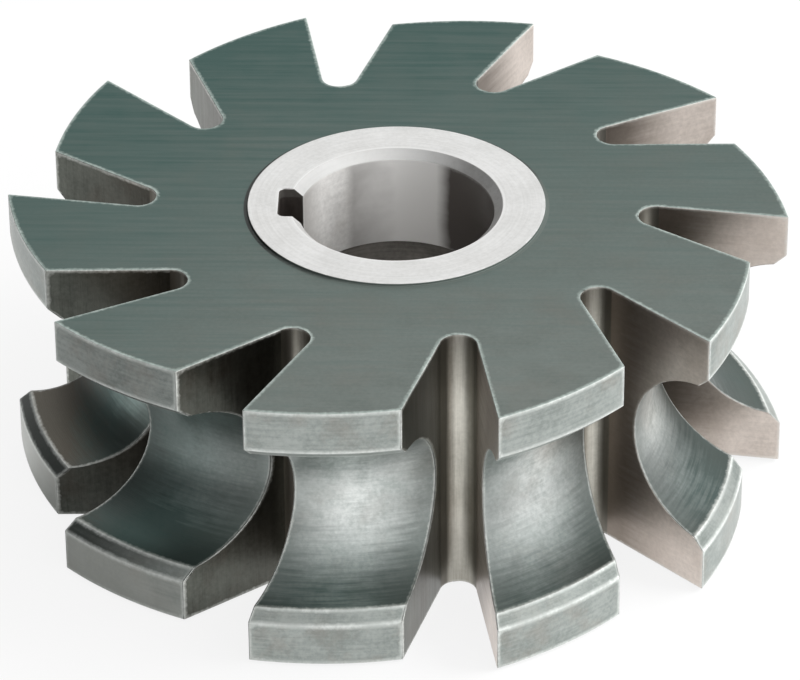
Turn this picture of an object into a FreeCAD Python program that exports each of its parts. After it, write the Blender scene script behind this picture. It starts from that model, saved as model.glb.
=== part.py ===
import FreeCAD, Part
import math
import os
import sys
import Sketcher
from FreeCAD import Placement, Rotation, Vector

# Radius milling cutter: one piece of high-speed steel with ten form-relieved teeth. A half-round
# groove runs round its rim, so it mills a convex round edge. Millimetres, +Z up, and the origin is
# the centre of the lower hub face, on the axis of the bore.

# alias, value, what it is
SIZES = [
    ("outside_diameter", 108.0, "over the cutting edges"),
    ("face_width", 40.5, "across the teeth, from side to side"),
    ("tooth_count", 10, "teeth round the rim"),
    ("tooth_phase", 105.5, "angle of the first cutting edge from +X"),
    ("relief_angle", 10.7, "fall of a tooth's back behind its cutting edge"),
    ("groove_radius", 12.5, "half-round form cut by the teeth"),
    ("mouth_chamfer", 1.6, "corner break each side of the groove, at 45 degrees"),
    ("rake_angle", 6.0, "lean of the cutting face from the radius"),
    ("gullet_angle", 26.0, "between the cutting face and the heel of the tooth ahead"),
    ("gullet_depth", 20.6, "from the cutting edge's circle to the bottom of the gullet"),
    ("gullet_root_radius", 2.5, "round at the bottom of the gullet"),
    ("gullet_overrun", 4.0, "how far the gullet's cut runs out past the rim"),
    ("edge_overrun", 0.3, "tooth blank standing past the cutting edge before the gullet is cut"),
    ("blank_gap", 2.3, "angle left between neighbouring tooth blanks, inside the gullet"),
    ("web_rise", 1.6, "web standing above the gullet bottoms, inside the teeth"),
    ("tooth_root_depth", 3.0, "tooth blank reaching into the web below the gullet bottoms"),
    ("ring_diameter", 41.2, "ground ring on each hub face"),
    ("ring_rise", 0.4, "ring above the side of the teeth"),
    ("bore_diameter", 27.0, "arbor bore"),
    ("bore_chamfer", 1.2, "corner break at each mouth of the bore"),
    ("bore_land", 14.8, "full-size bore at each end, before the recess"),
    ("recess_depth", 0.7, "middle of the bore, below its wall"),
    ("keyway_width", 7.0, "keyway in the bore"),
    ("keyway_depth", 2.8, "keyway floor below the bore's wall"),
    ("keyway_corner", 0.8, "round in the keyway's floor corners"),
]

# worked out from the sizes, for use in the sketches and features
RIM = "Sizes.outside_diameter / 2"
GULLET_FLOOR = f"({RIM} - Sizes.gullet_depth)"
WEB = f"({GULLET_FLOOR} + Sizes.web_rise)"
SIDE = "(Sizes.face_width + Sizes.ring_rise)"
TOP = "(Sizes.face_width + 2 * Sizes.ring_rise)"
BORE = "(Sizes.bore_diameter / 2)"
RING = "(Sizes.ring_diameter / 2)"
# A tooth's back is round an axis of its own, set off square to the cutting edge's radius, so the
# back falls away from the cutting edge at the relief angle and keeps its form all the way to the heel.
BACK_OFFSET = f"({RIM} * tan(Sizes.relief_angle))"
BACK_RADIUS = f"({RIM} / cos(Sizes.relief_angle))"
BACK_INNER = f"({GULLET_FLOOR} - Sizes.tooth_root_depth)"
BLANK_START = f"(atan(({BACK_OFFSET} - Sizes.edge_overrun) / ({RIM})) / 1 deg)"
BLANK_SWEEP = "(360 / Sizes.tooth_count - Sizes.blank_gap)"
HEEL_LEAN = "(Sizes.rake_angle + Sizes.gullet_angle)"

# how a constraint names the points of an edge, the origin and the sketch's own axes
START, END, CENTRE = 1, 2, 3
ORIGIN = (-1, 1)
ACROSS, UPRIGHT = -1, -2

NEAR = 1e-6
CUBIC_CM = 1000.0
THROUGH_CUT = f"3 * {TOP}"


def make_sheet(doc):
    sheet = doc.addObject("Spreadsheet::Sheet", "Sizes")
    for row, (alias, value, meaning) in enumerate(SIZES, start=1):
        sheet.set(f"A{row}", meaning)
        sheet.set(f"B{row}", str(value))
        sheet.setAlias(f"B{row}", alias)
    doc.recompute()


def number(owner, expression):
    value = owner.evalExpression(expression)
    return float(getattr(value, "Value", value))


def new_sketch(body, name, role):
    sketch = body.newObject("Sketcher::SketchObject", name)
    plane = next(item for item in body.Origin.OriginFeatures if item.Role == role)
    sketch.AttachmentSupport = [(plane, "")]
    sketch.MapMode = "FlatFace"
    return sketch


def bind(sketch, name, kind, references, expression):
    """Adds one dimension and ties it to the sheet."""
    value = number(sketch, expression)
    if kind == "Angle":
        value = math.radians(value)
    index = sketch.addConstraint(Sketcher.Constraint(kind, *references, value))
    sketch.renameConstraint(index, name)
    sketch.setExpression(f"Constraints.{name}", expression)


def join(sketch, first, second):
    sketch.addConstraint(Sketcher.Constraint("Coincident", *first, *second))


def draw_loop(sketch, corners):
    """Draws a closed loop of straight edges and keeps the level and upright ones so."""
    edges = []
    for here, there in zip(corners, corners[1:] + corners[:1]):
        edge = sketch.addGeometry(Part.LineSegment(Vector(*here, 0), Vector(*there, 0)), False)
        edges.append(edge)
        if abs(here[0] - there[0]) < NEAR:
            sketch.addConstraint(Sketcher.Constraint("Vertical", edge))
        elif abs(here[1] - there[1]) < NEAR:
            sketch.addConstraint(Sketcher.Constraint("Horizontal", edge))
    for before, after in zip(edges, edges[1:] + edges[:1]):
        join(sketch, (before, END), (after, START))
    return edges


def revolve(body, kind, name, sketch, angle=None):
    feature = body.newObject(f"PartDesign::{kind}", name)
    feature.Profile = sketch
    feature.ReferenceAxis = (sketch, ["V_Axis"])
    feature.Angle = 360.0
    if angle:
        feature.setExpression("Angle", angle)
    return feature


def repeat(body, name, feature):
    """Copies one tooth's feature round the axis."""
    pattern = body.newObject("PartDesign::PolarPattern", name)
    pattern.Originals = [feature]
    axis = next(item for item in body.Origin.OriginFeatures if item.Role == "Z_Axis")
    pattern.Axis = (axis, [""])
    pattern.Angle = 360.0
    pattern.setExpression("Occurrences", "Sizes.tooth_count")
    body.Tip = pattern
    return pattern


def add_web(body):
    """The disc that carries the teeth, with a raised ring on each hub face."""
    sketch = new_sketch(body, "WebSection", "XZ_Plane")
    ring, web = number(sketch, RING), number(sketch, WEB)
    rise, side, top = (number(sketch, size) for size in ("Sizes.ring_rise", SIDE, TOP))
    corners = [(0, 0), (ring, 0), (ring, rise), (web, rise), (web, side), (ring, side), (ring, top), (0, top)]
    bottom, low_step, _, rim, _, high_step, _, _ = draw_loop(sketch, corners)
    join(sketch, (bottom, START), ORIGIN)
    bind(sketch, "ring", "DistanceX", (*ORIGIN, bottom, END), RING)
    bind(sketch, "low_rise", "DistanceY", (*ORIGIN, low_step, END), "Sizes.ring_rise")
    bind(sketch, "web", "DistanceX", (*ORIGIN, rim, START), WEB)
    bind(sketch, "width", "DistanceY", (rim, START, rim, END), "Sizes.face_width")
    bind(sketch, "ring_above", "DistanceX", (*ORIGIN, high_step, START), RING)
    bind(sketch, "high_rise", "DistanceY", (high_step, START, high_step, END), "Sizes.ring_rise")
    return revolve(body, "Revolution", "Web", sketch)


def add_tooth(body):
    """One tooth blank: the half-round form turned about the tooth back's own axis."""
    sketch = new_sketch(body, "ToothForm", "XZ_Plane")
    sketch.AttachmentOffset = Placement(Vector(), Rotation(Vector(0, 1, 0), 1))
    sketch.setExpression(".AttachmentOffset.Base.x", f"{BACK_OFFSET} * sin(Sizes.tooth_phase)")
    sketch.setExpression(".AttachmentOffset.Base.z", f"{BACK_OFFSET} * cos(Sizes.tooth_phase)")
    sketch.setExpression(".AttachmentOffset.Rotation.Angle", f"Sizes.tooth_phase + {BLANK_START}")

    inner, outer = number(sketch, BACK_INNER), number(sketch, BACK_RADIUS)
    chamfer, radius = number(sketch, "Sizes.mouth_chamfer"), number(sketch, "Sizes.groove_radius")
    low, high = number(sketch, "Sizes.ring_rise"), number(sketch, SIDE)
    middle = (low + high) / 2
    half_mouth = math.sqrt(radius**2 - chamfer**2)
    mouth_low, mouth_high = middle - half_mouth, middle + half_mouth
    corners = [
        (inner, low),
        (outer, low),
        (outer, mouth_low - chamfer),
        (outer - chamfer, mouth_low),
        (outer - chamfer, mouth_high),
        (outer, mouth_high + chamfer),
        (outer, high),
        (inner, high),
    ]

    def edge(index):
        here, there = corners[index], corners[(index + 1) % len(corners)]
        return sketch.addGeometry(Part.LineSegment(Vector(*here, 0), Vector(*there, 0)), False)

    base, low_land, low_break = edge(0), edge(1), edge(2)
    lean = math.acos(chamfer / radius)
    circle = Part.Circle(Vector(outer, middle, 0), Vector(0, 0, 1), radius)
    groove = sketch.addGeometry(Part.ArcOfCircle(circle, math.pi - lean, math.pi + lean), False)
    high_break, high_land, roof, back = edge(4), edge(5), edge(6), edge(7)

    join(sketch, (base, END), (low_land, START))
    join(sketch, (low_land, END), (low_break, START))
    join(sketch, (low_break, END), (groove, END))
    join(sketch, (groove, START), (high_break, START))
    join(sketch, (high_break, END), (high_land, START))
    join(sketch, (high_land, END), (roof, START))
    join(sketch, (roof, END), (back, START))
    join(sketch, (back, END), (base, START))
    for level in (base, roof):
        sketch.addConstraint(Sketcher.Constraint("Horizontal", level))
    for upright in (low_land, high_land, back):
        sketch.addConstraint(Sketcher.Constraint("Vertical", upright))

    bind(sketch, "inner", "DistanceX", (*ORIGIN, base, START), BACK_INNER)
    bind(sketch, "rise", "DistanceY", (*ORIGIN, base, START), "Sizes.ring_rise")
    bind(sketch, "width", "DistanceY", (base, START, roof, END), "Sizes.face_width")
    bind(sketch, "low_back", "DistanceX", (*ORIGIN, base, END), BACK_RADIUS)
    bind(sketch, "high_back", "DistanceX", (*ORIGIN, roof, START), BACK_RADIUS)
    bind(sketch, "centre_out", "DistanceX", (*ORIGIN, groove, CENTRE), BACK_RADIUS)
    bind(sketch, "centre_up", "DistanceY", (*ORIGIN, groove, CENTRE), "Sizes.ring_rise + Sizes.face_width / 2")
    bind(sketch, "radius", "Radius", (groove,), "Sizes.groove_radius")
    bind(sketch, "low_in", "DistanceX", (low_break, END, low_break, START), "Sizes.mouth_chamfer")
    bind(sketch, "low_up", "DistanceY", (low_break, START, low_break, END), "Sizes.mouth_chamfer")
    bind(sketch, "high_in", "DistanceX", (high_break, START, high_break, END), "Sizes.mouth_chamfer")
    bind(sketch, "high_up", "DistanceY", (high_break, START, high_break, END), "Sizes.mouth_chamfer")
    return revolve(body, "Revolution", "Tooth", sketch, BLANK_SWEEP)


def add_gullet(body):
    """The chip space: cutting face, round bottom and heel flank of the tooth ahead."""
    sketch = new_sketch(body, "GulletOutline", "XY_Plane")
    sketch.AttachmentOffset = Placement(Vector(), Rotation(Vector(0, 0, 1), 1))
    sketch.setExpression(".AttachmentOffset.Rotation.Angle", "Sizes.tooth_phase")

    rim, radius = number(sketch, RIM), number(sketch, "Sizes.gullet_root_radius")
    rake = math.radians(number(sketch, "Sizes.rake_angle"))
    heel = math.radians(number(sketch, HEEL_LEAN))
    outer = rim + number(sketch, "Sizes.gullet_overrun")
    reach = number(sketch, GULLET_FLOOR) + radius
    # the centre of the round lies off the radius through the cutting edge by this much
    aside = rim * math.sin(rake) - radius
    along = math.sqrt(reach**2 - aside**2)
    centre = Vector(
        along * math.cos(rake) + aside * math.sin(rake),
        aside * math.cos(rake) - along * math.sin(rake),
        0,
    )
    face_foot = centre + radius * Vector(math.sin(rake), math.cos(rake), 0)
    heel_foot = centre - radius * Vector(math.sin(heel), math.cos(heel), 0)
    face_end = Vector(outer, -math.tan(rake) * (outer - rim), 0)
    heel_end = Vector(outer, heel_foot.y - math.tan(heel) * (outer - heel_foot.x), 0)

    face = sketch.addGeometry(Part.LineSegment(face_foot, face_end), False)
    circle = Part.Circle(centre, Vector(0, 0, 1), radius)
    root = sketch.addGeometry(
        Part.ArcOfCircle(circle, math.pi / 2 - rake, 3 * math.pi / 2 - heel), False
    )
    flank = sketch.addGeometry(Part.LineSegment(heel_foot, heel_end), False)
    mouth = sketch.addGeometry(Part.LineSegment(heel_end, face_end), False)

    sketch.addConstraint(Sketcher.Constraint("Tangent", face, START, root, START))
    sketch.addConstraint(Sketcher.Constraint("Tangent", root, END, flank, START))
    join(sketch, (flank, END), (mouth, START))
    join(sketch, (mouth, END), (face, END))
    sketch.addConstraint(Sketcher.Constraint("Vertical", mouth))
    bind(sketch, "root", "Radius", (root,), "Sizes.gullet_root_radius")
    bind(sketch, "reach", "Distance", (*ORIGIN, root, CENTRE), f"{GULLET_FLOOR} + Sizes.gullet_root_radius")
    bind(sketch, "outer", "DistanceX", (*ORIGIN, mouth, END), f"{RIM} + Sizes.gullet_overrun")
    bind(sketch, "drop", "DistanceY", (face, END, *ORIGIN), "Sizes.gullet_overrun * tan(Sizes.rake_angle)")
    bind(sketch, "rake", "Angle", (face,), "0 - Sizes.rake_angle")
    bind(sketch, "heel", "Angle", (flank,), f"0 - {HEEL_LEAN}")

    gullet = body.newObject("PartDesign::Pocket", "Gullet")
    gullet.Profile = sketch
    gullet.SideType = "Symmetric"
    gullet.Type = "Length"
    gullet.setExpression("Length", THROUGH_CUT)
    return gullet


def add_bore(body):
    """Bore with a corner break at each mouth and a wider middle that clears the arbor."""
    sketch = new_sketch(body, "BoreSection", "XZ_Plane")
    bore, top = number(sketch, BORE), number(sketch, TOP)
    chamfer, land = number(sketch, "Sizes.bore_chamfer"), number(sketch, "Sizes.bore_land")
    recess = bore + number(sketch, "Sizes.recess_depth")
    corners = [
        (0, 0),
        (bore + chamfer, 0),
        (bore, chamfer),
        (bore, land),
        (recess, land),
        (recess, top - land),
        (bore, top - land),
        (bore, top - chamfer),
        (bore + chamfer, top),
        (0, top),
    ]
    bottom, _, low_wall, _, recess_wall, _, high_wall, _, roof, axis = draw_loop(sketch, corners)
    join(sketch, (bottom, START), ORIGIN)
    bind(sketch, "low_mouth", "DistanceX", (*ORIGIN, bottom, END), f"{BORE} + Sizes.bore_chamfer")
    bind(sketch, "low_bore", "DistanceX", (*ORIGIN, low_wall, START), BORE)
    bind(sketch, "low_break", "DistanceY", (*ORIGIN, low_wall, START), "Sizes.bore_chamfer")
    bind(sketch, "low_land", "DistanceY", (*ORIGIN, low_wall, END), "Sizes.bore_land")
    bind(sketch, "recess", "DistanceX", (*ORIGIN, recess_wall, START), f"{BORE} + Sizes.recess_depth")
    bind(sketch, "high_bore", "DistanceX", (*ORIGIN, high_wall, START), BORE)
    bind(sketch, "high_land", "DistanceY", (high_wall, START, axis, START), "Sizes.bore_land")
    bind(sketch, "high_break", "DistanceY", (high_wall, END, axis, START), "Sizes.bore_chamfer")
    bind(sketch, "high_mouth", "DistanceX", (*ORIGIN, roof, START), f"{BORE} + Sizes.bore_chamfer")
    bind(sketch, "top", "DistanceY", (*ORIGIN, axis, START), TOP)
    return revolve(body, "Groove", "Bore", sketch)


def add_keyway(body):
    """Keyway through the bore on its -X side, with rounded floor corners."""
    sketch = new_sketch(body, "KeywayOutline", "XY_Plane")
    half = number(sketch, "Sizes.keyway_width") / 2
    floor = -(number(sketch, BORE) + number(sketch, "Sizes.keyway_depth"))
    corner = number(sketch, "Sizes.keyway_corner")

    def line(here, there):
        return sketch.addGeometry(Part.LineSegment(Vector(*here, 0), Vector(*there, 0)), False)

    def quarter(x, y, start):
        circle = Part.Circle(Vector(x, y, 0), Vector(0, 0, 1), corner)
        return sketch.addGeometry(Part.ArcOfCircle(circle, start, start + math.pi / 2), False)

    top = line((0, half), (floor + corner, half))
    top_corner = quarter(floor + corner, half - corner, math.pi / 2)
    key_floor = line((floor, half - corner), (floor, corner - half))
    low_corner = quarter(floor + corner, corner - half, math.pi)
    low = line((floor + corner, -half), (0, -half))
    middle = line((0, -half), (0, half))
    sketch.addConstraint(Sketcher.Constraint("Tangent", top, END, top_corner, START))
    sketch.addConstraint(Sketcher.Constraint("Tangent", top_corner, END, key_floor, START))
    sketch.addConstraint(Sketcher.Constraint("Tangent", key_floor, END, low_corner, START))
    sketch.addConstraint(Sketcher.Constraint("Tangent", low_corner, END, low, START))
    join(sketch, (low, END), (middle, START))
    join(sketch, (middle, END), (top, START))
    sketch.addConstraint(Sketcher.Constraint("Vertical", key_floor))
    sketch.addConstraint(Sketcher.Constraint("Horizontal", top))
    sketch.addConstraint(Sketcher.Constraint("Horizontal", low))
    sketch.addConstraint(Sketcher.Constraint("Symmetric", middle, START, middle, END, ACROSS))
    sketch.addConstraint(Sketcher.Constraint("PointOnObject", middle, START, UPRIGHT))
    bind(sketch, "width", "DistanceY", (middle, START, middle, END), "Sizes.keyway_width")
    bind(sketch, "floor", "DistanceX", (key_floor, START, *ORIGIN), f"{BORE} + Sizes.keyway_depth")
    bind(sketch, "corner", "Radius", (top_corner,), "Sizes.keyway_corner")
    sketch.addConstraint(Sketcher.Constraint("Equal", top_corner, low_corner))

    keyway = body.newObject("PartDesign::Pocket", "Keyway")
    keyway.Profile = sketch
    keyway.SideType = "Symmetric"
    keyway.Type = "Length"
    keyway.setExpression("Length", THROUGH_CUT)
    return keyway


def check(doc, bodies):
    faults = [item.Name for item in doc.Objects if {"Invalid", "Error"} & set(item.State)]
    faults += [
        f"{item.Name} is not fully constrained"
        for item in doc.findObjects("Sketcher::SketchObject")
        if not item.FullyConstrained
    ]
    faults += [body.Label for body in bodies if body.Shape.isNull() or not body.Shape.isValid()]
    if faults:
        sys.exit("failed: " + ", ".join(faults))


def cut_volume(body, before, name):
    """A cut that points away from the solid takes nothing off and shows no error."""
    after = body.Shape.Volume
    if after >= before - 1:
        sys.exit(f"failed: {name} cuts nothing")
    return after


def make_cutter(doc):
    body = doc.addObject("PartDesign::Body", "CutterBody")
    body.Label = "cutter_body"
    add_web(body)
    repeat(body, "Teeth", add_tooth(body))
    doc.recompute()
    volume = body.Shape.Volume
    repeat(body, "Gullets", add_gullet(body))
    doc.recompute()
    volume = cut_volume(body, volume, "the gullets")
    add_bore(body)
    doc.recompute()
    volume = cut_volume(body, volume, "the bore")
    add_keyway(body)
    doc.recompute()
    cut_volume(body, volume, "the keyway")
    return body


def main():
    doc = FreeCAD.newDocument("RadiusCutter")
    make_sheet(doc)
    bodies = [make_cutter(doc)]
    doc.recompute()
    check(doc, bodies)
    os.makedirs("parts", exist_ok=True)
    for body in bodies:
        box = body.Shape.optimalBoundingBox(False, False)
        print(f"{body.Label}: {box.XLength:.2f} x {box.YLength:.2f} x {box.ZLength:.2f} mm,", end=" ")
        print(f"{body.Shape.Volume / CUBIC_CM:.1f} cm3, {len(body.Shape.Solids)} solid")
        body.Shape.exportStep(f"parts/{body.Label}.step")


main()
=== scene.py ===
import math

import bmesh
import bpy
import numpy as np
from mathutils import Matrix, Vector


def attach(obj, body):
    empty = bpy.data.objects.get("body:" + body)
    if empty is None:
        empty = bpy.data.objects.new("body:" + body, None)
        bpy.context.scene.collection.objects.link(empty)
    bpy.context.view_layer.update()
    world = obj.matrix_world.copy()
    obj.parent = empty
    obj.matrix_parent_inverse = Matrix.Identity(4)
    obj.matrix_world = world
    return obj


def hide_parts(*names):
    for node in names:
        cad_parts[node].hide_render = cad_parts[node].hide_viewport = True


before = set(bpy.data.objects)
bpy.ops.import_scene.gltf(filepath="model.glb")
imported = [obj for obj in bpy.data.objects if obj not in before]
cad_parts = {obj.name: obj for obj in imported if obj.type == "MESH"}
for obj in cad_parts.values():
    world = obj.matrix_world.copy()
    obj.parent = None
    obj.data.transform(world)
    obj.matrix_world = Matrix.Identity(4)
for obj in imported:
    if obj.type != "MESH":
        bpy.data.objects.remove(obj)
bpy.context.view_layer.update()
print("stage: frame loaded")

# Angles are in degrees and lengths in millimetres until a mesh or a place is made in metres. The
# camera's clips and the studio are in metres from the start.
toMetres = 0.001

# Camera: a long lens, placed from the centre of the upper side of the teeth
camera = {
    "lens": 231.76,
    "sensor": 36.0,
    "place": (0.342, -603.648, 375.649),
    "above": 40.9,
    "turn": 1.57,
    "elevation": 33.38955,
    "roll": -0.43253,
    "near": 0.05,
    "far": 20.0,
}


# The camera's right, up and forward come from its turn about the vertical and its elevation, and
# right and up are then rolled about forward.
def addCamera(spec):
    turn = Matrix.Rotation(math.radians(spec["turn"]), 3, "Z")
    tilt, roll = math.radians(spec["elevation"]), math.radians(spec["roll"])
    right = turn @ Vector((1, 0, 0))
    up = turn @ Vector((0, math.sin(tilt), math.cos(tilt)))
    forward = turn @ Vector((0, math.cos(tilt), -math.sin(tilt)))
    rolledRight = math.cos(roll) * right + math.sin(roll) * up
    rolledUp = -math.sin(roll) * right + math.cos(roll) * up
    place = (turn @ Vector(spec["place"]) + Vector((0, 0, spec["above"]))) * toMetres
    lens = bpy.data.cameras.new("camera")
    lens.lens, lens.sensor_width = spec["lens"], spec["sensor"]
    lens.clip_start, lens.clip_end = spec["near"], spec["far"]
    eye = bpy.data.objects.new("camera", lens)
    bpy.context.scene.collection.objects.link(eye)
    axes = Matrix((rolledRight, rolledUp, -forward)).transposed()
    eye.matrix_world = Matrix.Translation(place) @ axes.to_4x4()
    bpy.context.scene.camera = eye


addCamera(camera)
bpy.context.scene.view_settings.view_transform = "Standard"
print("stage: camera made")

# The cutter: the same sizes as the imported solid, then how finely each stretch is divided
cutter = {
    "toothCount": 10,
    "firstEdge": 105.5,
    "rimRadius": 54.0,
    "relief": 10.7,
    "rake": 6.0,
    "gullet": 26.0,
    "gulletDepth": 20.6,
    "rootRadius": 2.5,
    "grooveRadius": 12.5,
    "mouthChamfer": 1.6,
    "faceWidth": 40.5,
    "ringRise": 0.4,
    "ringRadius": 20.6,
    "boreRadius": 13.5,
    "boreChamfer": 1.2,
    "boreLand": 14.8,
    "recessDepth": 0.7,
    "keyHalf": 3.5,
    "keyFloor": 16.3,
    "keyCorner": 0.8,
    "backColumns": 24,
    "wallColumns": 14,
    "halfRootColumns": 8,
    "landRows": 7,
    "chamferRows": 4,
    "grooveRows": 46,
    "hubRows": 12,
    "ringRows": 7,
    "boreRows": 14,
    "recessRows": 10,
    "keyColumns": (3, 4, 4, 4, 3),
    "crowding": 0.86,
    "lightCrowding": 0.3,
    "grooveCrowding": 0.6,
    "hubCrowding": 0.55,
    "weldWithin": 0.002,
    "edgeRound": 0.15,
    "roundSteps": 2,
    "roundOver": 30,
}
lowSide = cutter["ringRise"]
highSide = lowSide + cutter["faceWidth"]
topFace = highSide + cutter["ringRise"]
middle = topFace / 2
toothStep = 2 * math.pi / cutter["toothCount"]
finishes = [
    "side", "ring", "step", "mouth", "bore", "recess", "land", "chamfer", "groove",
    "cuttingFace", "heel", "root", "keyway",
]

# Where the grain maps of heel and root start, how far the root's moves for a column, the radius
# that the ring's is measured at, and the gaps that stand for no edge near
mapping = {
    "heelStart": 20,
    "rootStart": 16,
    "rootStep": 0.42,
    "ringRadius": 17,
    "stepGap": 9,
    "openGap": 99.0,
}


# Fractions from 0 to 1 in equal steps, less a sine wave that crowds them at both ends.
def crowded(steps, crowding=cutter["crowding"]):
    even = np.linspace(0, 1, steps + 1)
    return even - crowding * np.sin(2 * np.pi * even) / (2 * np.pi)


# Points turned about the bore's axis by an angle.
def turned(points, angle):
    c, s = math.cos(angle), math.sin(angle)
    return points @ np.array([[c, s], [-s, c]])


# Signed distance from a line: the offset from its foot, across its direction.
def acrossLine(points, foot, direction):
    offset = points - foot
    return offset[..., 0] * direction[1] - offset[..., 1] * direction[0]


# One tooth's corners in its own frame, with the cutting edge on +X.
def toothFrame(spec):
    rim, rake = spec["rimRadius"], math.radians(spec["rake"])
    relief, lean = math.radians(spec["relief"]), math.radians(spec["rake"] + spec["gullet"])
    root = spec["rootRadius"]
    reach = rim - spec["gulletDepth"] + root
    aside = rim * math.sin(rake) - root
    along = math.sqrt(reach**2 - aside**2)
    rootCentre = np.array([
        along * math.cos(rake) + aside * math.sin(rake),
        aside * math.cos(rake) - along * math.sin(rake),
    ])
    heelFoot = rootCentre - root * np.array([math.sin(lean), math.cos(lean)])
    return {
        "backCentre": np.array([0.0, -rim * math.tan(relief)]),
        "backRadius": rim / math.cos(relief),
        "rootCentre": rootCentre,
        "nextRoot": turned(rootCentre, toothStep),
        "faceFoot": rootCentre + root * np.array([math.sin(rake), math.cos(rake)]),
        "faceOut": np.array([math.cos(rake), -math.sin(rake)]),
        "heelFoot": turned(heelFoot, toothStep),
        "heelOut": turned(np.array([math.cos(lean), -math.sin(lean)]), toothStep),
        "faceTurn": math.pi / 2 - rake,
        "deepTurn": math.pi + math.atan2(rootCentre[1], rootCentre[0]),
        "heelTurn": 3 * math.pi / 2 - lean,
        "floorRadius": rim - spec["gulletDepth"],
    }


tooth = toothFrame(cutter)


# Where a straight wall meets the back's circle: the outer root of a quadratic in the wall's length.
def wallEnd(foot, direction, depth):
    offset = foot - tooth["backCentre"]
    half = offset @ direction
    radius = tooth["backRadius"] - depth
    length = np.sqrt(half**2 - offset @ offset + radius**2) - half
    return foot + np.multiply.outer(length, direction)


# Points of the round root, from an angle to an angle about its centre.
def rootArc(start, end, steps):
    angle = np.linspace(start, end, steps + 1)
    circle = np.stack([np.cos(angle), np.sin(angle)], -1)
    return tooth["rootCentre"] + cutter["rootRadius"] * circle


# Levels up the rim: lands, 45-degree chamfers and the half circle, as height, depth below the
# land, length along the profile and the distance to the nearest corner of the profile.
def rimLevels(spec):
    radius, chamfer = spec["grooveRadius"], spec["mouthChamfer"]
    mouth = math.sqrt(radius**2 - chamfer**2)
    landTop = middle - mouth - chamfer
    land = lowSide + crowded(spec["landRows"]) * (landTop - lowSide)
    slope = crowded(spec["chamferRows"], spec["lightCrowding"]) * chamfer
    share = crowded(spec["grooveRows"], spec["grooveCrowding"])
    swing = (share - 0.5) * 2 * math.asin(mouth / radius)
    height = [land, landTop + slope, middle + radius * np.sin(swing)]
    depth = [land * 0, slope, radius * np.cos(swing)]
    height += [2 * middle - height[1][::-1], 2 * middle - land[::-1]]
    depth += [slope[::-1], land * 0]
    kinds = np.repeat([0, 1, 2, 1, 0], [len(part) - 1 for part in height])
    starts = np.cumsum([0] + [len(part) - 1 for part in height])
    height = np.concatenate([part[:-1] for part in height] + [height[-1][-1:]])
    depth = np.concatenate([part[:-1] for part in depth] + [depth[-1][-1:]])
    length = np.concatenate([[0], np.cumsum(np.hypot(np.diff(height), np.diff(depth)))])
    gap = np.abs(length[:, None] - length[starts][None, :]).min(1)
    return height, depth, length, gap, kinds


levels = rimLevels(cutter)

# Each patch is a grid of points with its grain map in millimetres and its distance to the nearest
# sharp edge. They are gathered here and joined into one mesh.
patches = []


# A grid becomes quads of four neighbours, wound either way round.
def addPatch(points, along, across, gap, finish, flip=False):
    rows, columns = points.shape[-3:-1]
    count = points.size // (rows * columns * 3)
    index = np.arange(count * rows * columns).reshape(count, rows, columns)
    corners = [index[:, :-1, :-1], index[:, :-1, 1:], index[:, 1:, 1:], index[:, 1:, :-1]]
    quads = np.stack(corners[::-1] if flip else corners, -1)
    kind = np.zeros(quads.shape[:-1], int) + finish
    shape = (count, rows, columns)
    grain = [np.broadcast_to(along, shape), np.broadcast_to(across, shape)]
    patches.append({
        "points": points.reshape(-1, 3),
        "map": np.stack(grain, -1).reshape(-1, 2),
        "gap": np.broadcast_to(gap, shape).reshape(-1),
        "quads": quads.reshape(-1, 4),
        "finish": kind.reshape(-1),
    })


# A tooth's grid copied round the axis, one turn of the step for each.
def everyTooth(flat, height):
    angle = math.radians(cutter["firstEdge"]) + toothStep * np.arange(cutter["toothCount"])
    c, s = np.cos(angle)[:, None, None], np.sin(angle)[:, None, None]
    x, y = flat[..., 0][None], flat[..., 1][None]
    z = np.broadcast_to(height, x.shape[1:])[None]
    return np.stack([c * x - s * y, s * x + c * y, z + 0 * x * c], -1)


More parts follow.
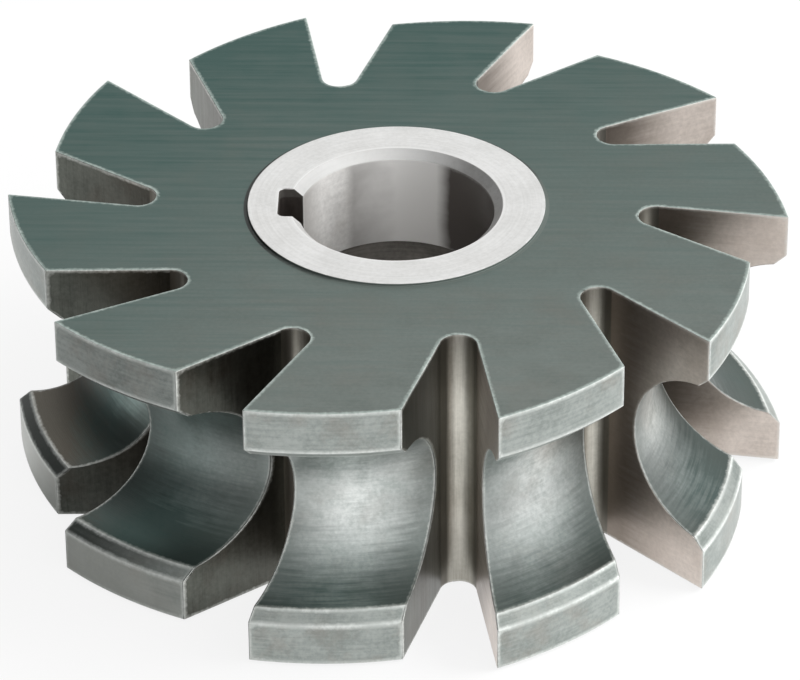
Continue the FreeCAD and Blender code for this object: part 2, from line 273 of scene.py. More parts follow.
# Teeth: at each level the outline runs up the cutting face, round the back about the back's own
# centre, down the heel and round the root.
def addTeeth(spec):
    height, depth, length, profileGap, kinds = levels
    share = crowded(spec["wallColumns"])[None, :, None]
    faceEnd = wallEnd(tooth["faceFoot"], tooth["faceOut"], depth)
    heelEnd = wallEnd(tooth["heelFoot"], tooth["heelOut"], depth)
    tall = height[:, None]
    sideGap = np.minimum(tall - lowSide, highSide - tall)

    face = tooth["faceFoot"] + share * (faceEnd - tooth["faceFoot"])[:, None]
    reach = np.linalg.norm(face - tooth["faceFoot"], axis=-1)
    gap = np.minimum(sideGap, np.linalg.norm(faceEnd[:, None] - face, axis=-1))
    addPatch(everyTooth(face, tall), reach, tall, gap, finishes.index("cuttingFace"))

    heel = tooth["heelFoot"] + share[:, ::-1] * (heelEnd - tooth["heelFoot"])[:, None]
    reach = mapping["heelStart"] + np.linalg.norm(heel - tooth["heelFoot"], axis=-1)
    gap = np.minimum(sideGap, np.linalg.norm(heelEnd[:, None] - heel, axis=-1))
    addPatch(everyTooth(heel, tall), reach, tall, gap, finishes.index("heel"))

    start, end = faceEnd - tooth["backCentre"], heelEnd - tooth["backCentre"]
    first = np.arctan2(start[:, 1], start[:, 0])[:, None]
    last = np.arctan2(end[:, 1], end[:, 0])[:, None]
    angle = first + crowded(spec["backColumns"])[None] * (last - first)
    radius = tooth["backRadius"] - depth[:, None]
    circle = np.stack([np.cos(angle), np.sin(angle)], -1)
    back = tooth["backCentre"] + radius[..., None] * circle
    along = radius * (angle - first)
    endGap = np.minimum(along, radius * (last - angle))
    kind = np.array([finishes.index(name) for name in ("land", "chamfer", "groove")])[kinds]
    gap = np.minimum(endGap, profileGap[:, None])
    addPatch(everyTooth(back, tall), along, length[:, None], gap, kind[:, None])

    half = spec["halfRootColumns"]
    arc = np.vstack([
        rootArc(tooth["heelTurn"], tooth["deepTurn"], half)[:-1],
        rootArc(tooth["deepTurn"], tooth["faceTurn"], half),
    ])
    arc = np.broadcast_to(turned(arc, toothStep), (len(height), 2 * half + 1, 2))
    swept = mapping["rootStart"] - np.arange(2 * half + 1) * mapping["rootStep"]
    addPatch(everyTooth(arc, tall), swept, tall, sideGap, finishes.index("root"))


# A point as its distance from the bore's axis and its angle round it.
def polar(points):
    x, y = points[..., 0], points[..., 1]
    return np.stack([np.hypot(x, y), np.arctan2(y, x)], -1)


# Sides: rows run from the rim to the gullet's floor between the outline's two walls. The first row
# is the back's arc and its bulge fades out inwards, in radius and angle about the bore.
def addSides(spec):
    half = spec["halfRootColumns"]
    share = crowded(spec["wallColumns"])[::-1, None]
    faceEnd = wallEnd(tooth["faceFoot"], tooth["faceOut"], np.zeros(1))
    heelEnd = wallEnd(tooth["heelFoot"], tooth["heelOut"], np.zeros(1))
    left = np.vstack([
        tooth["faceFoot"] + share * (faceEnd - tooth["faceFoot"]),
        rootArc(tooth["faceTurn"], tooth["deepTurn"], half)[1:],
    ])
    right = np.vstack([
        tooth["heelFoot"] + share * (heelEnd - tooth["heelFoot"]),
        turned(rootArc(tooth["heelTurn"], tooth["deepTurn"], half), toothStep)[1:],
    ])
    first, last = (np.arctan2(*(end[0] - tooth["backCentre"])[::-1]) for end in (faceEnd, heelEnd))
    fine = crowded(spec["backColumns"])
    swing = first + fine * (last - first)
    rim = tooth["backCentre"] + tooth["backRadius"] * np.stack([np.cos(swing), np.sin(swing)], -1)

    leftPolar, rightPolar, rimPolar = polar(left), polar(right), polar(rim)
    inward = np.linspace(0, 1, len(left))[:, None]
    across = (1 - inward) * fine + inward * np.linspace(0, 1, len(fine))
    grid = leftPolar[:, None] + across[..., None] * (rightPolar - leftPolar)[:, None]
    flatRim = leftPolar[0] + fine[:, None] * (rightPolar[0] - leftPolar[0])
    grid += ((1 - inward) ** 2)[..., None] * (rimPolar - flatRim)[None]
    radius, angle = grid[..., 0], grid[..., 1]
    flat = np.stack([radius * np.cos(angle), radius * np.sin(angle)], -1)

    rimGap = tooth["backRadius"] - np.linalg.norm(flat - tooth["backCentre"], axis=-1)
    faceGap = np.abs(acrossLine(flat, tooth["faceFoot"], tooth["faceOut"]))
    heelGap = np.abs(acrossLine(flat, tooth["heelFoot"], tooth["heelOut"]))
    rootGap = np.linalg.norm(flat - tooth["rootCentre"], axis=-1) - spec["rootRadius"]
    nextGap = np.linalg.norm(flat - tooth["nextRoot"], axis=-1) - spec["rootRadius"]
    straight = (flat @ tooth["faceOut"]) > tooth["faceFoot"] @ tooth["faceOut"]
    faceGap = np.where(straight, faceGap, rootGap)
    straight = (flat @ tooth["heelOut"]) > tooth["heelFoot"] @ tooth["heelOut"]
    heelGap = np.where(straight, heelGap, nextGap)
    gap = np.minimum(np.minimum(rimGap, faceGap), np.minimum(heelGap, rootGap))
    gap = np.maximum(np.minimum(gap, nextGap), 0)

    # The hub carries the gullet floor's row of points in to the ring.
    angle = grid[-1, :, 1][None]
    hubShare = crowded(spec["hubRows"], spec["hubCrowding"])[:, None]
    radius = tooth["floorRadius"] + hubShare * (spec["ringRadius"] - tooth["floorRadius"])
    hub = np.stack([radius * np.cos(angle), radius * np.sin(angle)], -1)
    hubGap = tooth["floorRadius"] - radius + gap[-1][None]
    hubKind = np.full((spec["hubRows"], 1), finishes.index("side"))
    # The innermost hub row takes the near-black step finish: a painted shadow line round the ring.
    hubKind[-1] = finishes.index("step")
    for height, flip in ((highSide, False), (lowSide, True)):
        for part, partGap, kind in ((flat, gap, finishes.index("side")), (hub, hubGap, hubKind)):
            points = everyTooth(part, np.array(height))
            addPatch(points, points[..., 0], points[..., 1], partGap, kind, flip)


# Bore: every level is one closed outline of as many points as the ring's circle, an arc of even
# steps and then the keyway's walls, round corners and floor. A wall's points start where the
# recess ends, so every level shares them.
def boreOutline(radius, arcSteps, spec=cutter):
    opening = math.asin(spec["keyHalf"] / radius)
    angle = math.pi + opening + np.linspace(0, 1, arcSteps + 1) * 2 * (math.pi - opening)
    arc = radius * np.stack([np.cos(angle), np.sin(angle)], -1)
    half, floor, corner = spec["keyHalf"], -spec["keyFloor"], spec["keyCorner"]
    wallSteps, cornerSteps, floorSteps, _, _ = spec["keyColumns"]
    widest = max(radius, spec["boreRadius"] + spec["recessDepth"])
    wall = np.linspace(-math.sqrt(widest**2 - half**2), floor + corner, wallSteps)
    wall = np.stack([wall, wall * 0 + half], -1)
    swing = np.linspace(math.pi / 2, math.pi, cornerSteps + 1)[1:]
    centre = np.array([floor + corner, half - corner])
    bend = centre + corner * np.stack([np.cos(swing), np.sin(swing)], -1)
    base = np.linspace(half - corner, corner - half, floorSteps + 1)[1:-1]
    base = np.stack([base * 0 + floor, base], -1)
    flip = np.array([1, -1])
    return np.vstack([arc, wall, bend, base, bend[::-1] * flip, wall[::-1] * flip, arc[:1]])


# The ring's faces run straight from its circle to the bore's outline, its steps are upright, and
# the bore's wall is the outline at each level's radius. The circle starts beside the keyway, at one
# of the points that it shares with the hub.
def addBore(spec):
    total = spec["toothCount"] * spec["backColumns"]
    arcSteps = total - sum(spec["keyColumns"])
    rootX, rootY = tooth["rootCentre"]
    startTurn = math.radians(spec["firstEdge"]) + math.atan2(rootY, rootX)
    step = 2 * math.pi / total
    mouth = spec["boreRadius"] + spec["boreChamfer"]
    wanted = math.pi + math.asin(spec["keyHalf"] / mouth)
    shift = round((wanted - startTurn) / step)
    turn = startTurn + (shift + np.arange(total + 1)) * step
    circle = np.stack([np.cos(turn), np.sin(turn)], -1)
    ring = spec["ringRadius"]
    mouthLine = boreOutline(mouth, arcSteps)

    inward = crowded(spec["ringRows"], spec["lightCrowding"])[:, None, None]
    face = (1 - inward) * ring * circle + inward * mouthLine
    distance = np.linalg.norm(face, axis=-1)
    beside = np.maximum(np.abs(face[..., 1]) - spec["keyHalf"], 0)
    behind = np.maximum(-spec["keyFloor"] - face[..., 0], 0)
    keyGap = np.where(face[..., 0] < 0, np.hypot(beside, behind), mapping["openGap"])
    gap = np.minimum(np.minimum(ring - distance, np.abs(distance - mouth)), keyGap)
    around = mapping["ringRadius"] * np.arctan2(face[..., 1], face[..., 0])
    for height, flip in ((topFace, False), (0.0, True)):
        points = np.concatenate([face, np.full(face.shape[:-1] + (1,), height)], -1)
        addPatch(points, around, distance, gap, finishes.index("ring"), flip)
    # The upright steps take the near-black step finish, which is painted shade.
    for low, high in ((highSide, topFace), (0.0, lowSide)):
        rows = np.array([high, low])[:, None] + 0 * turn
        x, y = ring * circle[:, 0] + 0 * rows, ring * circle[:, 1] + 0 * rows
        points = np.stack([x, y, rows], -1)
        addPatch(points, turn * ring, rows, mapping["stepGap"], finishes.index("step"), True)

    bore, land, chamfer = spec["boreRadius"], spec["boreLand"], spec["boreChamfer"]
    recess = bore + spec["recessDepth"]
    high = topFace - chamfer + crowded(spec["boreRows"]) * (chamfer - land)
    middleRows = topFace - land + crowded(spec["recessRows"]) * (2 * land - topFace)
    low = land + crowded(spec["boreRows"]) * (chamfer - land)
    stages = [
        (np.array([topFace, topFace - chamfer]), np.array([mouth, bore]), "mouth"),
        (high, high * 0 + bore, "bore"),
        (np.array([topFace - land] * 2), np.array([bore, recess]), "recess"),
        (middleRows, middleRows * 0 + recess, "recess"),
        (np.array([land] * 2), np.array([recess, bore]), "recess"),
        (low, low * 0 + bore, "bore"),
        (np.array([chamfer, 0.0]), np.array([bore, mouth]), "mouth"),
    ]
    keyed = np.arange(total)[None] >= arcSteps
    for height, radius, name in stages:
        flat = np.stack([boreOutline(r, arcSteps) for r in radius])
        tall = np.broadcast_to(height[:, None], flat.shape[:-1])
        points = np.concatenate([flat, tall[..., None]], -1)
        steps = np.linalg.norm(np.diff(flat, axis=1), axis=-1)
        along = np.concatenate([0 * steps[:, :1], np.cumsum(steps, 1)], 1)
        arcLength = along[:, arcSteps][:, None]
        cornerGap = np.minimum(np.abs(along), np.abs(along - arcLength))
        cornerGap = np.minimum(cornerGap, along[:, -1:] - along)
        levelGap = np.minimum(np.abs(tall - tall[0]), np.abs(tall - tall[-1]))
        kind = np.where(keyed, finishes.index("keyway"), finishes.index(name))
        addPatch(points, along, tall, np.minimum(cornerGap, levelGap), kind)


# One mesh from the patches: their corners are welded and the grain map and the distance to the
# nearest edge are kept on it.
def joinPatches(name):
    sizes = np.cumsum([0] + [len(patch["points"]) for patch in patches])
    points = np.vstack([patch["points"] for patch in patches]) * toMetres
    quads = np.vstack([patch["quads"] + start for patch, start in zip(patches, sizes)])
    grain = np.vstack([patch["map"] for patch in patches])
    gap = np.concatenate([patch["gap"] for patch in patches])
    finish = np.concatenate([patch["finish"] for patch in patches])
    mesh = bpy.data.meshes.new(name)
    mesh.from_pydata(points.tolist(), [], quads.tolist())
    mesh.polygons.foreach_set("material_index", finish)
    mesh.polygons.foreach_set("use_smooth", np.ones(len(quads), bool))
    layer = mesh.uv_layers.new(name="grain")
    layer.uv.foreach_set("vector", grain[quads.reshape(-1)].astype(np.float32).reshape(-1))
    nearness = mesh.attributes.new("edgeGap", "FLOAT", "POINT")
    nearness.data.foreach_set("value", gap.astype(np.float32))
    cage = bmesh.new()
    cage.from_mesh(mesh)
    bmesh.ops.remove_doubles(cage, verts=cage.verts, dist=cutter["weldWithin"] * toMetres)
    print("stage: cutter surface made,", len(cage.verts), "points")
    cage.to_mesh(mesh)
    cage.free()
    return mesh


addTeeth(cutter)
addSides(cutter)
addBore(cutter)
body = bpy.data.objects.new("cutterSurface", joinPatches("cutterSurface"))
bpy.context.scene.collection.objects.link(body)


# Painted light and shade: a tint that thickens in one direction, of the object or of the grain map,
# from nothing at the first distance to its share at the second, standing in for light or shade
# there.
def paintedShading(tint, share, toward, start, end, onMap=False):
    return {
        "tint": tint, "share": share, "toward": toward, "from": start, "to": end, "map": onMap,
    }


# Finishes: colours are linear. Patches of "dark" and "light" have the size "patch", and "stained"
# is how strongly "stain" covers them. "along" and "across" are the sizes of one streak on the grain
# map, "streaks" and "speckle" how far streaks and pits shift the colour, and "rough" the range of
# roughness. "wear" is how far the bright worn metal reaches from an edge.
finishLooks = {
    "side": {
        "dark": (0.118, 0.142, 0.128), "light": (0.180, 0.205, 0.190),
        "stain": (0.160, 0.158, 0.138),
        "patch": 6.0, "stained": 0.40, "along": 26.0, "across": 0.9, "streaks": 0.45,
        "speckle": 0.25, "metal": 0.60, "rough": (0.34, 0.50), "relief": 0.010,
        "worn": (0.54, 0.62, 0.58), "wear": 0.6, "wornShare": 0.95,
        # Painted shade: the sides darken to deep teal towards the back and a little towards the
        # left.
        "paintedShadings": [
            paintedShading((0.022, 0.074, 0.064), 0.9, (-0.25, 0.97, 0), -45, 50),
            paintedShading((0.022, 0.074, 0.064), 0.35, (-1, 0, 0), 12, 48),
        ],
    },
    "ring": {
        "dark": (0.70, 0.70, 0.685), "light": (0.85, 0.85, 0.84), "stain": (0.58, 0.55, 0.51),
        "patch": 7.0, "stained": 0.10, "along": 14.0, "across": 0.35, "streaks": 0.5,
        "speckle": 0.35, "metal": 0.85, "rough": (0.32, 0.46), "relief": 0.006,
        "worn": (0.92, 0.92, 0.91), "wear": 0.5, "wornShare": 0.5,
    },
    # Painted shade: this near-black colour draws a shadow line round the raised ring.
    "step": {
        "dark": (0.018, 0.021, 0.019), "light": (0.055, 0.062, 0.058),
        "stain": (0.03, 0.028, 0.025),
        "patch": 6.0, "stained": 0.3, "along": 14.0, "across": 0.35, "streaks": 0.4,
        "speckle": 0.20, "metal": 0.5, "rough": (0.45, 0.60), "relief": 0.006,
        "worn": (0.4, 0.4, 0.4), "wear": 0.1, "wornShare": 0.2,
        # Painted light: the tint pales that shadow line towards the front right.
        "paintedShadings": [
            paintedShading((0.150, 0.180, 0.165), 0.95, (0.6, -0.8, 0), -4, 12),
        ],
    },
    "mouth": {
        "dark": (0.46, 0.46, 0.45), "light": (0.62, 0.62, 0.61), "stain": (0.40, 0.37, 0.33),
        "patch": 7.0, "stained": 0.15, "along": 14.0, "across": 0.35, "streaks": 0.4,
        "speckle": 0.30, "metal": 0.8, "rough": (0.34, 0.48), "relief": 0.005,
        "worn": (0.80, 0.80, 0.79), "wear": 0.3, "wornShare": 0.6,
        # Painted shade: the bore's chamfer darkens towards the right.
        "paintedShadings": [
            paintedShading((0.15, 0.14, 0.13), 0.65, (1, 0, 0), 3, 13),
        ],
    },
    "bore": {
        "dark": (0.53, 0.52, 0.505), "light": (0.75, 0.74, 0.72), "stain": (0.42, 0.39, 0.36),
        "patch": 5.0, "stained": 0.30, "along": 40.0, "across": 1.4, "streaks": 0.3,
        "speckle": 0.35, "metal": 0.08, "rough": (0.28, 0.42), "relief": 0.0015,
        "worn": (0.86, 0.86, 0.84), "wear": 0.5, "wornShare": 0.3, "ragged": 0.03,
        # Painted light and shade: darker beside the keyway, then upright bands of grey, bright and
        # dark to the right.
        "paintedShadings": [
            paintedShading((0.16, 0.15, 0.14), 0.75, (-1, 0, 0), 10.5, 13.0),
            paintedShading((0.38, 0.37, 0.36), 0.8, (1, 0, 0), -7.5, -6.3),
            paintedShading((0.98, 0.97, 0.95), 1.0, (1, 0, 0), -6.5, -0.5),
            paintedShading((0.045, 0.033, 0.026), 0.93, (1, 0, 0), 5.3, 7.2),
        ],
    },
    # Painted shade: the recess is coloured darker than the bore, for the shade inside it.
    "recess": {
        "dark": (0.14, 0.130, 0.118), "light": (0.34, 0.320, 0.290), "stain": (0.18, 0.145, 0.125),
        "patch": 6.0, "stained": 0.3, "along": 30.0, "across": 0.6, "streaks": 0.4,
        "speckle": 0.20, "metal": 0.7, "rough": (0.35, 0.50), "relief": 0.008,
        "worn": (0.55, 0.55, 0.52), "wear": 0.3, "wornShare": 0.6,
    },
    "land": {
        "dark": (0.25, 0.28, 0.263), "light": (0.40, 0.43, 0.41), "stain": (0.31, 0.265, 0.225),
        "patch": 5.0, "stained": 0.50, "along": 14.0, "across": 0.5, "streaks": 0.45,
        "speckle": 0.40, "metal": 0.52, "rough": (0.32, 0.48), "relief": 0.012,
        "worn": (0.80, 0.83, 0.80), "wear": 0.65, "wornShare": 1.0,
        # Painted reflection: the lands pale towards the lower left, where they mirror the bright
        # floor.
        "paintedShadings": [
            paintedShading((0.58, 0.59, 0.55), 0.6, (-1, 0, -1), 12, 30),
        ],
    },
    "chamfer": {
        "dark": (0.25, 0.28, 0.263), "light": (0.40, 0.43, 0.41), "stain": (0.29, 0.265, 0.225),
        "patch": 5.0, "stained": 0.30, "along": 14.0, "across": 0.5, "streaks": 0.45,
        "speckle": 0.40, "metal": 0.55, "rough": (0.32, 0.48), "relief": 0.012,
        "worn": (0.80, 0.83, 0.80), "wear": 0.55, "wornShare": 1.0,
        # Painted shade: the chamfers darken towards the left.
        "paintedShadings": [
            paintedShading((0.034, 0.040, 0.036), 0.85, (-1, 0.1, 0), 20, 40),
        ],
    },
    "groove": {
        "dark": (0.49, 0.53, 0.51), "light": (0.90, 0.93, 0.91), "stain": (0.39, 0.38, 0.35),
        "patch": 3.2, "stained": 0.40, "along": 9.0, "across": 0.6, "streaks": 0.40,
        "speckle": 0.30, "metal": 0.92, "rough": (0.28, 0.44), "relief": 0.016,
        "worn": (0.84, 0.86, 0.82), "wear": 0.55, "wornShare": 0.95,
        # Painted shade: the grooves turn teal towards the left and dark teal in their lower part.
        "paintedShadings": [
            paintedShading((0.22, 0.40, 0.37), 0.5, (-1, 0, 0), 12, 30),
            paintedShading((0.064, 0.106, 0.097), 0.92, (-0.05, 0.12, -1), -20.6, -13.2),
            # Painted shade near both ends of each groove, leaving a painted highlight in its
            # middle.
            paintedShading((0.10, 0.12, 0.11), 0.7, (1, 0, 0), 10.5, 17.5, onMap=True),
            paintedShading((0.14, 0.16, 0.15), 0.6, (-1, 0, 0), -7, -1, onMap=True),
            # Painted shade: darker towards the back right and dark brown at the far left.
            paintedShading((0.10, 0.115, 0.10), 0.5, (0.7, 0.7, 0), 30, 40),
            paintedShading((0.105, 0.088, 0.070), 0.85, (-1, 0, 0), 40, 46),
        ],
    },
    "cuttingFace": {
        "dark": (0.52, 0.46, 0.415), "light": (0.74, 0.66, 0.60), "stain": (0.36, 0.285, 0.235),
        "patch": 8.0, "stained": 0.35, "along": 18.0, "across": 0.8, "streaks": 0.35,
        "speckle": 0.35, "metal": 0.85, "rough": (0.30, 0.46), "relief": 0.010,
        "worn": (0.82, 0.80, 0.76), "wear": 0.5, "wornShare": 0.85,
        # Painted shade: the cutting face darkens towards the gullet's root.
        "paintedShadings": [
            paintedShading((0.155, 0.125, 0.100), 0.8, (-1, 0, 0), -11.5, -3, onMap=True),
        ],
    },
    "heel": {
        "dark": (0.080, 0.085, 0.074), "light": (0.165, 0.175, 0.154),
        "stain": (0.10, 0.074, 0.058),
        "patch": 7.0, "stained": 0.4, "along": 1.0, "across": 20.0, "streaks": 0.5,
        "speckle": 0.30, "metal": 1.0, "rough": (0.28, 0.44), "relief": 0.016,
        "worn": (0.82, 0.84, 0.80), "wear": 0.6, "wornShare": 0.95,
        # Painted shade: the heel darkens towards the gullet's root.
        "paintedShadings": [
            paintedShading((0.060, 0.054, 0.047), 0.55, (-1, 0, 0), -34, -21, onMap=True),
        ],
    },
    "root": {
        "dark": (0.54, 0.525, 0.465), "light": (0.87, 0.85, 0.77), "stain": (0.34, 0.30, 0.24),
        "patch": 9.0, "stained": 0.35, "along": 0.7, "across": 26.0, "streaks": 0.8,
        "speckle": 0.20, "metal": 1.0, "rough": (0.44, 0.56), "relief": 0.010,
        "worn": (0.80, 0.80, 0.76), "wear": 0.45, "wornShare": 0.6,
        # Painted shade: the root darkens along both its sides and towards the bottom and the top.
        "paintedShadings": [
            paintedShading((0.115, 0.108, 0.092), 0.85, (1, 0, 0), 13.5, 14.2, onMap=True),
            paintedShading((0.125, 0.115, 0.098), 0.80, (-1, 0, 0), -10.8, -10.0, onMap=True),
            paintedShading((0.14, 0.13, 0.11), 0.55, (0, 0, -1), -12, -2),
            paintedShading((0.14, 0.13, 0.11), 0.68, (0, 0, 1), 32, 40),
        ],
    },
    # Painted shade: the keyway's near-black colour stands for the shade in the slot.
    "keyway": {
        "dark": (0.022, 0.018, 0.016), "light": (0.060, 0.050, 0.044),
        "stain": (0.03, 0.022, 0.018),
        "patch": 3.0, "stained": 0.5, "along": 0.6, "across": 12.0, "streaks": 0.5,
        "speckle": 0.20, "metal": 0.4, "rough": (0.45, 0.62), "relief": 0.008,
        "worn": (0.30, 0.29, 0.27), "wear": 0.25, "wornShare": 0.3,
    },
}


# A node with its settings and its inputs, each a value or another node's output.
def addNode(tree, kind, settings=None, inputs=None):
    made = tree.nodes.new(kind)
    for key, value in (settings or {}).items():
        setattr(made, key, value)
    for key, value in (inputs or {}).items():
        if isinstance(value, bpy.types.NodeSocket):
            tree.links.new(value, made.inputs[key])
        else:
            made.inputs[key].default_value = value
    return made


# The first colour plus the share of the way to the second.
def mixColours(tree, share, first, second):
    sockets = {0: share, 6: first, 7: second}
    return addNode(tree, "ShaderNodeMix", {"data_type": "RGBA"}, sockets).outputs[2]


# A value carried in proportion from one range to another, and held at the ends.
def remap(tree, value, low, high, toLow, toHigh):
    return addNode(tree, "ShaderNodeMapRange", None, {
        "Value": value, "From Min": low, "From Max": high, "To Min": toLow, "To Max": toHigh,
    }).outputs[0]


# The sum, product or larger of two values.
def calculate(tree, operation, first, second):
    sockets = {0: first, 1: second}
    return addNode(tree, "ShaderNodeMath", {"operation": operation}, sockets).outputs[0]


# How far a point or direction lies toward another: their dot product.
def reachToward(tree, field, toward):
    sockets = {0: field, 1: toward}
    made = addNode(tree, "ShaderNodeVectorMath", {"operation": "DOT_PRODUCT"}, sockets)
    return made.outputs["Value"]


# Noise of a given size in each direction: the point is divided by the size first.
def grainNoise(tree, point, size, detail, roughness=0.55):
    scale = tuple(1 / length for length in size)
    scaled = addNode(tree, "ShaderNodeMapping", None, {"Vector": point, "Scale": scale})
    return addNode(tree, "ShaderNodeTexNoise", None, {
        "Vector": scaled.outputs[0], "Scale": 1.0, "Detail": detail, "Roughness": roughness,
    }).outputs[0]


# What all the steel finishes share: the detail and, for some, the roughness of each noise, the
# stretch of it that is used, sizes against a finish's own patch or streak, and what each adds
steel = {
    "patchDetail": (3.0,),
    "stainDetail": (5.0, 0.65),
    "streakDetail": (4.0,),
    "fineDetail": (2.0,),
    "pitDetail": (3.0, 0.6),
    "patchNoise": (0.32, 0.68),
    "stainNoise": (0.50, 0.72),
    "stainSize": 1.7,
    "streakNoise": (0.3, 0.7),
    "fineAlong": 4,
    "fineAcross": 5,
    "fineShare": 3,
    "pitSize": 0.6,
    "pitNoise": (0.35, 0.65),
    "colourRange": (-0.3, 1.3),
    # How far patches and streaks make the border of the painted light and shade uneven
    "shadingPatch": 0.1,
    "shadingRagged": 0.16,
    "wearPits": (-0.2, 0.3),
    "wearPatch": 0.55,
    "wornMetal": 0.45,
    "roughPits": 0.25,
    "roughNoise": (0.2, 0.8),
    "pitRelief": 0.6,
}


# Steel: patches, streaks and stains vary the colour, and painted light and shade tints it, each
# with an uneven border. Streaks and pits vary the roughness and relief. Where the distance to an
# edge is small, worn metal shows, with a smaller metal share.
def makeSteel(name, look, spec=steel):
    made = bpy.data.materials.new(name)
    made.use_nodes = True
    tree = made.node_tree
    tree.nodes.clear()
    point = addNode(tree, "ShaderNodeTexCoord").outputs["Object"]
    grain = addNode(tree, "ShaderNodeUVMap", {"uv_map": "grain"}).outputs[0]
    along, across, streaks = look["along"], look["across"], look["streaks"]
    patchSize = look["patch"] * toMetres
    patch = grainNoise(tree, point, (patchSize,) * 3, *spec["patchDetail"])
    patch = remap(tree, patch, *spec["patchNoise"], 0, 1)
    stainSize = patchSize * spec["stainSize"]
    stain = grainNoise(tree, point, (stainSize,) * 3, *spec["stainDetail"])
    stain = remap(tree, stain, *spec["stainNoise"], 0, look["stained"])
    streak = grainNoise(tree, grain, (along, across, 1.0), *spec["streakDetail"])
    fineSize = (along / spec["fineAlong"], across / spec["fineAcross"], 1.0)
    fineStreak = grainNoise(tree, grain, fineSize, *spec["fineDetail"])
    pitSize = spec["pitSize"] * toMetres
    pits = grainNoise(tree, point, (pitSize,) * 3, *spec["pitDetail"])

    fine = streaks / spec["fineShare"]
    streakShare = remap(tree, streak, *spec["streakNoise"], -streaks, streaks)
    fineShare = remap(tree, fineStreak, *spec["streakNoise"], -fine, fine)
    speckle = remap(tree, pits, *spec["pitNoise"], -look["speckle"], look["speckle"])
    share = calculate(tree, "ADD", patch, calculate(tree, "ADD", streakShare, fineShare))
    share = calculate(tree, "ADD", share, speckle)
    share = remap(tree, share, *spec["colourRange"], 0, 1)
    colour = mixColours(tree, share, (*look["dark"], 1), (*look["light"], 1))
    colour = mixColours(tree, stain, colour, (*look["stain"], 1))

    # Painted light and shade: each tint is laid over the colour with an uneven border.
    bulge, ragged = spec["shadingPatch"], look.get("ragged", spec["shadingRagged"])
    for layer in look.get("paintedShadings", []):
        field, unit = (grain, 1.0) if layer["map"] else (point, toMetres)
        near, far = layer["from"], layer["to"]
        patchy = remap(tree, patch, 0, 1, -bulge, bulge)
        streaky = remap(tree, streak, *spec["streakNoise"], -ragged, ragged)
        uneven = calculate(tree, "ADD", patchy, streaky)
        uneven = calculate(tree, "MULTIPLY", uneven, (far - near) * unit)
        reach = calculate(tree, "ADD", reachToward(tree, field, layer["toward"]), uneven)
        covered = remap(tree, reach, near * unit, far * unit, 0, layer["share"])
        colour = mixColours(tree, covered, colour, (*layer["tint"], 1))

    gap = addNode(tree, "ShaderNodeAttribute", {"attribute_name": "edgeGap"}).outputs["Fac"]
    low, high = (part * look["wear"] for part in spec["wearPits"])
    reached = calculate(tree, "ADD", gap, remap(tree, pits, *spec["streakNoise"], low, high))
    worn = remap(tree, reached, 0, look["wear"], look["wornShare"], 0)
    worn = calculate(tree, "MULTIPLY", worn, remap(tree, patch, 0, 1, 1.0, spec["wearPatch"]))
    metal = remap(tree, worn, 0, 1, look["metal"], look["metal"] * spec["wornMetal"])
    colour = mixColours(tree, worn, colour, (*look["worn"], 1))

    pitted = remap(tree, pits, 0, 1, -spec["roughPits"], spec["roughPits"])
    rough = calculate(tree, "ADD", streak, pitted)
    rough = remap(tree, rough, *spec["roughNoise"], *look["rough"])
    height = calculate(tree, "MULTIPLY", pits, spec["pitRelief"])
    bump = addNode(tree, "ShaderNodeBump", None, {
        "Height": calculate(tree, "ADD", fineStreak, height),
        "Strength": 1.0,
        "Distance": look["relief"] * toMetres,
    })
    surface = addNode(tree, "ShaderNodeBsdfPrincipled", None, {
        "Base Color": colour, "Roughness": rough, "Normal": bump.outputs[0], "Metallic": metal,
    })
    addNode(tree, "ShaderNodeOutputMaterial", None, {"Surface": surface.outputs[0]})
    return made


for name in finishes:
    body.data.materials.append(makeSteel(name, finishLooks[name]))
print("stage: finishes made")

# Every sharp corner is rounded off.
rounding = body.modifiers.new("edges", "BEVEL")
rounding.width = cutter["edgeRound"] * toMetres
rounding.segments = cutter["roundSteps"]
rounding.limit_method = "ANGLE"
rounding.angle_limit = math.radians(cutter["roundOver"])
rounding.use_clamp_overlap = False
rounding.harden_normals = True
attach(body, "root")
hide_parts("cutter_body")

# Floor and light, in metres: a pale floor with a painted shadow in its reflections at the left
# front and far to the right, a soft lamp from the right and above, and broad cards of light
studio = {
    "floorHalf": 6.0,
    "floorColour": (0.86, 0.86, 0.86, 1),
    "cameraGlow": 0.85,
    "mirrorGlow": 1.05,
    "paintedShadowSector": {"toward": (-0.829, -0.559, 0), "from": 0.95, "to": 0.84, "least": 0.26},
    "paintedShadowFarRight": {"toward": (1.0, 0, 0), "from": 0.16, "to": 0.07, "least": 0.45},
    "keyPlace": (0.52, 0.07, 0.38),
    "keySize": 0.5,
    "keyPower": 5.0,
    "dim": 0.06,
    "cards": [
        {"toward": (0.724, -0.652, -0.225), "from": -0.3, "to": 0.85, "level": 0.95},
        {"toward": (0.10, 0.815, 0.57), "from": 0.55, "to": 0.95, "level": 0.85},
        {"toward": (0.1, -0.3, 0.95), "from": 0.4, "to": 1.0, "level": 0.50},
    ],
}
white = (1, 1, 1, 1)
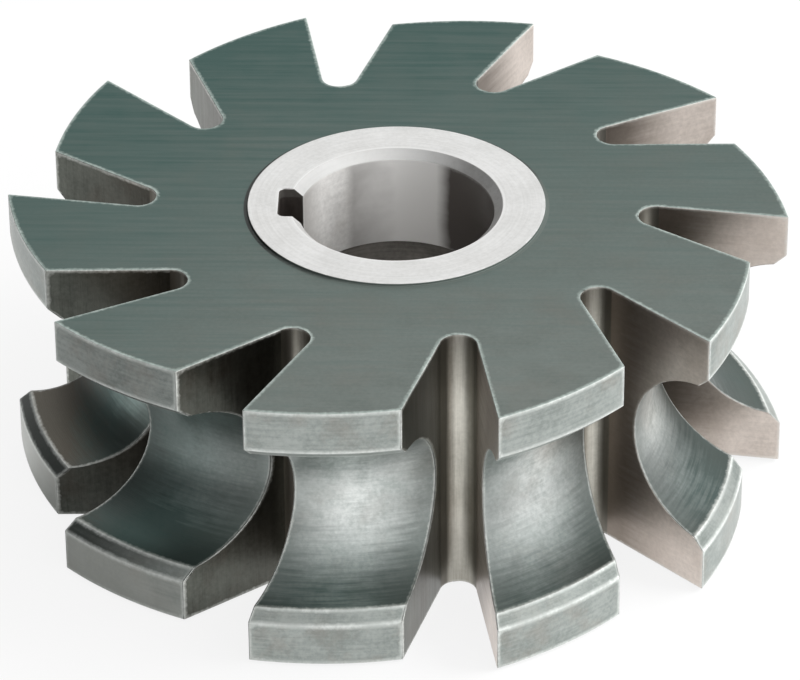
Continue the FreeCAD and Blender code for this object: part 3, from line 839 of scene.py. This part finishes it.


# White for the camera and glowing in reflections, mixed with a plain surface that takes the shadow.
# Its glow in reflections is painted shadow within a sector of bearings and past a distance to the
# right.
def makeFloor(spec):
    half = spec["floorHalf"]
    mesh = bpy.data.meshes.new("floor")
    corners = [(-half, -half, 0), (half, -half, 0), (half, half, 0), (-half, half, 0)]
    mesh.from_pydata(corners, [], [(0, 1, 2, 3)])
    floor = bpy.data.objects.new("floor", mesh)
    bpy.context.scene.collection.objects.link(floor)
    made = bpy.data.materials.new("floor")
    made.use_nodes = True
    tree = made.node_tree
    tree.nodes.clear()
    path = addNode(tree, "ShaderNodeLightPath")
    glossy, through = path.outputs["Is Glossy Ray"], path.outputs["Is Transmission Ray"]
    mirrored = calculate(tree, "MAXIMUM", glossy, through)
    point = addNode(tree, "ShaderNodeTexCoord").outputs["Object"]
    bearing = addNode(tree, "ShaderNodeVectorMath", {"operation": "NORMALIZE"}, {0: point})
    reflectedGlow = spec["mirrorGlow"]
    for field, fade in ((bearing.outputs[0], spec["paintedShadowSector"]), (point, spec["paintedShadowFarRight"])):
        reach = reachToward(tree, field, fade["toward"])
        kept = remap(tree, reach, fade["from"], fade["to"], fade["least"], 1.0)
        reflectedGlow = calculate(tree, "MULTIPLY", reflectedGlow, kept)
    seen = path.outputs["Is Camera Ray"]
    strength = calculate(tree, "ADD", seen, calculate(tree, "MULTIPLY", mirrored, reflectedGlow))
    share = calculate(tree, "ADD", mirrored, calculate(tree, "MULTIPLY", seen, spec["cameraGlow"]))
    matt = addNode(tree, "ShaderNodeBsdfDiffuse", None, {"Color": spec["floorColour"]})
    glow = addNode(tree, "ShaderNodeEmission", None, {"Color": white, "Strength": strength})
    sockets = {0: share, 1: matt.outputs[0], 2: glow.outputs[0]}
    both = addNode(tree, "ShaderNodeMixShader", None, sockets)
    addNode(tree, "ShaderNodeOutputMaterial", None, {"Surface": both.outputs[0]})
    mesh.materials.append(made)


# White to the camera. For the rest a dim level plus broad soft cards, each rising smoothly with how
# squarely a direction faces it. The lamp is turned to the cutter's middle.
def makeStudio(spec):
    world = bpy.data.worlds.new("studio")
    world.use_nodes = True
    tree = world.node_tree
    tree.nodes.clear()
    direction = addNode(tree, "ShaderNodeTexCoord").outputs["Generated"]
    level = spec["dim"]
    for card in spec["cards"]:
        share = addNode(tree, "ShaderNodeMapRange", {"interpolation_type": "SMOOTHSTEP"}, {
            "Value": reachToward(tree, direction, card["toward"]),
            "From Min": card["from"], "From Max": card["to"],
            "To Min": 0.0, "To Max": card["level"],
        }).outputs[0]
        level = calculate(tree, "ADD", level, share)
    path = addNode(tree, "ShaderNodeLightPath")
    level = calculate(tree, "MAXIMUM", level, path.outputs["Is Camera Ray"])
    back = addNode(tree, "ShaderNodeBackground", None, {"Color": white, "Strength": level})
    addNode(tree, "ShaderNodeOutputWorld", None, {"Surface": back.outputs[0]})
    bpy.context.scene.world = world
    lamp = bpy.data.lights.new("key", "AREA")
    lamp.shape, lamp.size, lamp.energy = "DISK", spec["keySize"], spec["keyPower"]
    key = bpy.data.objects.new("key", lamp)
    key.visible_glossy = False
    bpy.context.scene.collection.objects.link(key)
    place = Vector(spec["keyPlace"])
    aim = Vector((0, 0, middle * toMetres)) - place
    key.matrix_world = Matrix.Translation(place) @ aim.to_track_quat("-Z", "Y").to_matrix().to_4x4()


makeFloor(studio)
makeStudio(studio)
print("stage: floor and light made")
